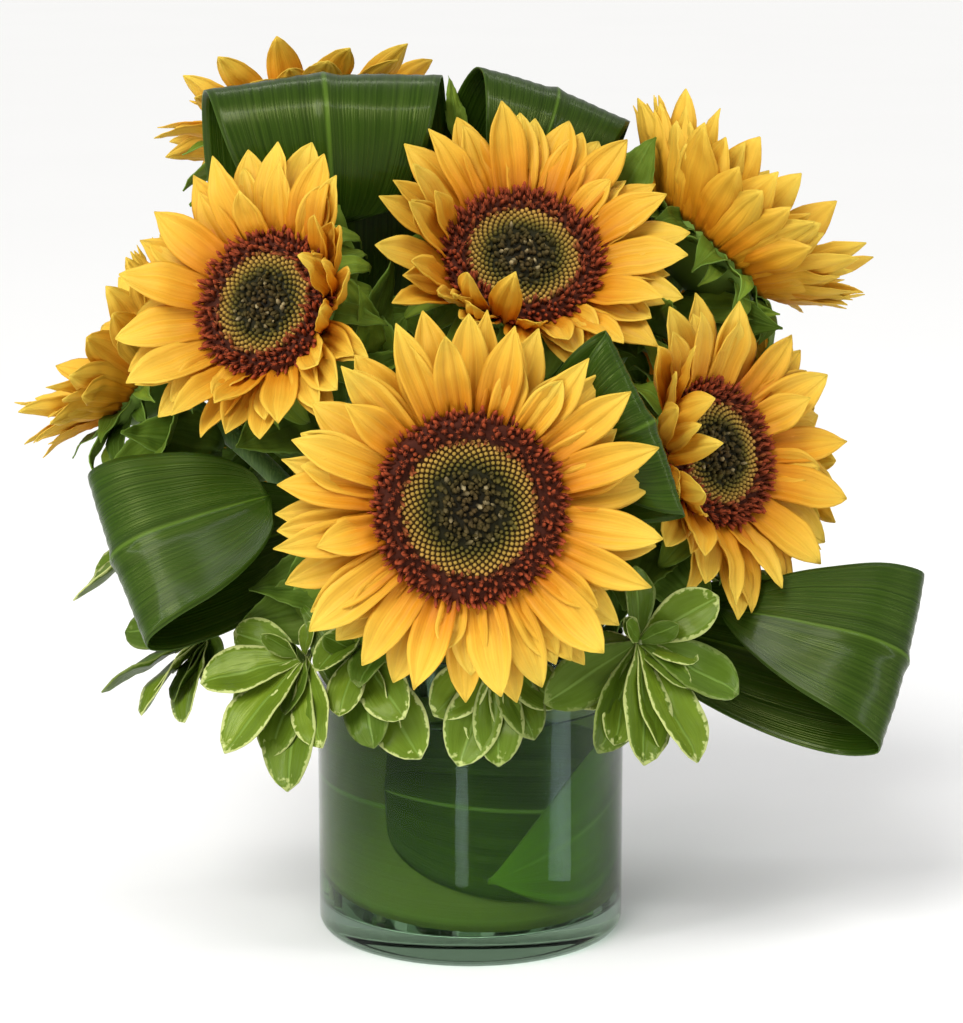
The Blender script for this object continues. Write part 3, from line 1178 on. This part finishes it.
# leaves that close the gaps between the stems: the bloom's stem that they grow from, then each
# one's root, tip and the way it faces (mm), and how broad it is; narrow ones are pale and curled
fillers = {
    "far_left_bloom_stem": (
        ((-105, 15, 205), (-152, -8, 193), (0, -1, 0.6), 0.9),
        ((-102, 5, 200), (-136, -26, 214), (0, -1, 0.3), 0.8),
        ((-100, 0, 196), (-118, -34, 188), (-0.3, -1, 0.4), 0.9)),
    "upper_left_bloom_stem": (
        ((-48, -18, 236), (-28, -36, 284), (0.5, -1, 0.2), 0.6),
        ((-44, -20, 240), (-25, -22, 262), (0, -1, 0.6), 0.65),
        ((-46, -24, 226), (-24, -48, 250), (0.3, -1, 0.5), 0.7),
        ((-44, -26, 240), (-30, -56, 268), (1, -1, 0), 0.45),
        ((-42, -26, 236), (-16, -50, 256), (0, -1, 1), 0.45),
        ((-42, -30, 230), (-24, -60, 240), (0.6, -1, 0.4), 0.45),
        ((-44, -24, 246), (-36, -52, 284), (1, -0.6, 0), 0.4),
        ((-40, -30, 224), (-34, -62, 228), (0, -1, 1), 0.45),
        ((-64, -14, 220), (-92, -40, 212), (-0.2, -1, 0.4), 0.9)),
    "top_bloom_stem": (
        ((-4, 48, 322), (-10, 58, 352), (0, -1, 0), 0.25),
        ((52, 20, 262), (66, -8, 246), (0, -1, 0.4), 0.8)),
    "upper_right_bloom_stem": (
        ((58, 22, 296), (74, 16, 328), (-0.3, -1, 0), 0.6),
        ((78, 28, 262), (70, 20, 262), (0, -1, 0.4), 0.6),
        ((84, 30, 258), (128, 10, 250), (0, -1, 0.6), 0.7), ((84, 24, 258), (60, -2, 248), (0, -1, 1), 0.4),
        ((84, 24, 256), (78, -12, 262), (0.5, -1, 0.5), 0.4),
        ((86, 24, 256), (100, -6, 246), (0, -1, 0.8), 0.4),
        ((88, 28, 256), (122, 4, 262), (0, -1, 0.5), 0.4),
        ((80, 20, 256), (58, 2, 236), (0.5, -1, 0.3), 0.35),
        ((80, 26, 256), (92, -8, 250), (0, -1, 0.4), 0.8)),
    "right_bloom_stem": (
        ((70, -34, 172), (62, -62, 152), (0, -1, 0.2), 0.9),
        ((72, -30, 170), (96, -58, 150), (0, -1, 0.5), 0.9)),
    "front_bloom_stem": (
        ((-22, -60, 160), (-62, -74, 148), (0, -1, 0.3), 1.0),
        ((22, -60, 160), (56, -78, 150), (0, -1, 0.3), 0.9),
        ((-30, -55, 168), (-80, -62, 138), (0, -1, 0.3), 1.0),
        ((-34, -50, 176), (-76, -60, 156), (0, -1, 0.2), 1.0),
        ((-44, -48, 152), (-94, -56, 142), (0, -1, 0.4), 0.9),
        ((-42, -46, 162), (-88, -52, 154), (0, -1, 0.2), 0.9)),
}


def buildFillers(kinds):
    draw = random.Random("fillers")
    for name, spots in fillers.items():
        pieces = []
        for index, (root, tip, face, breadth) in enumerate(spots):
            root = Vector(root) * mm
            tip = Vector(tip) * mm
            length = (tip - root).length / stemLeaf["length"]
            curl = 1 if breadth <= 0.5 else 0
            pieces.append(placeCopy(
                draw.choice(kinds), f"{name}Filler{index}", (breadth, length, length),
                (draw.uniform(-35, 35) * (1 + 1.5 * curl), draw.uniform(-10, 35) * (1 + curl) + 10 * curl),
                spanMatrix(root, tip, Vector(face)), draw.uniform(0, 0.4) + 0.6 * curl))
        finishPiece(joinPieces(name + "_filler", pieces), bractMaterial, "stem_green", name)


def buildAll():
    buildVase()
    buildWater()
    for name, liner in liners.items():
        buildLiner(name, liner)
    print("liner leaves: wrapped")
    for name, leaf in leaves.items():
        buildLeaf(name, leaf)
    print("aspidistra: rolled", len(leaves))
    petalKinds = makeKinds("petal", petal, petalOutline, petalProfile)
    bractKinds = makeKinds("bract", bract, bractOutline, bractProfile)
    stemLeafKinds = makeKinds("stem leaf", stemLeaf, stemLeafOutline, stemLeafProfile)
    bud = makeBudFloret()
    spike = makeSpikeFloret()
    tube = makeOpenFloret()
    for name, bloom in blooms.items():
        buildPetals(name, bloom, petalKinds)
        buildDisc(name, bloom, bud, spike, tube)
        buildCalyx(name, bloom, bractKinds, stemLeafKinds)
        print("bloom:", name)
    buildFillers(stemLeafKinds)
    print("filler leaves: placed")
    sprigKinds = makeKinds("sprig", sprig, sprigOutline, sprigProfile)
    for name, spray in sprays.items():
        buildSpray(name, spray, sprigKinds)
    print("pittosporum: placed", len(sprays))
    for pattern in petalKinds + bractKinds + stemLeafKinds + sprigKinds + [bud, spike, tube]:
        bpy.data.objects.remove(pattern)


buildAll()


# power: watts; spread: degrees, 180 where none is given
studio = {
    "floor": (0.95, 0.95, 0.95), "size": 24, "world": 0.56, "sun": 2.1, "sunWidth": 28,
    "sunWay": (0.38, 0.66, -0.70)}
lamps = {
    "stripLeft": {"place": (-0.95, -0.75, 0.55), "aim": (0, 0, 0.22), "size": (0.06, 1.1),
                  "power": 4.84, "colour": (1.0, 1.0, 1.0)},
    "stripRight": {"place": (1.05, -0.6, 0.5), "aim": (0, 0, 0.2), "size": (0.06, 1.1),
                   "power": 3.08, "colour": (0.96, 0.98, 1.0)},
    "glintFront": {"place": (-0.013, -0.152, 0.075), "aim": (-0.003, -0.06, 0.1),
                   "size": (0.018, 0.14), "power": 0.006, "colour": (0.85, 0.92, 1.0), "spread": 50},
    "glintRight": {"place": (0.1206, -0.0807, 0.075), "aim": (0.036, -0.051, 0.1),
                   "size": (0.035, 0.14), "power": 0.008, "colour": (0.75, 0.88, 1.0), "spread": 50},
    "stripFront": {"place": (0.05, -0.75, 1.35), "aim": (0, 0, 0.3), "size": (1.0, 0.06),
                   "power": 3.52, "colour": (1.0, 1.0, 1.0)},
    "stripTop": {"place": (0.1, 0.5, 1.25), "aim": (0, 0, 0.3), "size": (1.1, 0.14),
                 "power": 2.2, "colour": (1.0, 1.0, 1.0)},
}
# tilt: degrees from straight down; lens, sensor: mm
view = {"place": (0.0046, -1.373, 0.465), "tilt": 78.1, "lens": 120.1, "sensor": 36}


def buildStudio():
    deselectAll()
    bpy.ops.mesh.primitive_plane_add(size=studio["size"])
    floor = bpy.context.object
    floor.name = "studio_floor"
    material, tree, shader = startMaterial("floorWhite", {"Roughness": 0.8, "Specular IOR Level": 0.1})
    setInputs(tree, shader, {"Base Color": addMottle(tree, rgb(*studio["floor"]), 3.0, 0.01)["Color"]})
    floor.data.materials.append(material)
    world = bpy.context.scene.world or bpy.data.worlds.new("studio")
    bpy.context.scene.world = world
    world.use_nodes = True
    setInputs(world.node_tree, world.node_tree.nodes["Background"], {
        "Color": rgb(1, 1, 1), "Strength": studio["world"]})


def addLight(kind, name, place, way, power, colour):  # shines the way given
    deselectAll()
    bpy.ops.object.light_add(type=kind, location=place)
    light = bpy.context.object
    light.name = name
    light.data.energy = power
    light.data.color = colour
    light.rotation_euler = way.to_track_quat("-Z", "Y").to_euler()
    return light.data


def addLights():
    sun = addLight("SUN", "keySun", (0, 0, 2), Vector(studio["sunWay"]), studio["sun"], (1.0, 0.99, 0.96))
    sun.angle = radians(studio["sunWidth"])
    for name, lamp in lamps.items():
        way = Vector(lamp["aim"]) - Vector(lamp["place"])
        light = addLight("AREA", name, lamp["place"], way, lamp["power"], lamp["colour"])
        light.shape = "RECTANGLE"
        light.size, light.size_y = lamp["size"]
        light.spread = radians(lamp.get("spread", 180))


def addCamera():
    bpy.ops.object.camera_add(location=view["place"], rotation=(radians(view["tilt"]), 0, 0))
    camera = bpy.context.object
    camera.data.lens = view["lens"]
    camera.data.sensor_width = view["sensor"]
    bpy.context.scene.camera = camera


buildStudio()
addLights()
addCamera()
bpy.context.scene.view_settings.view_transform = "Standard"
print("studio: lit")
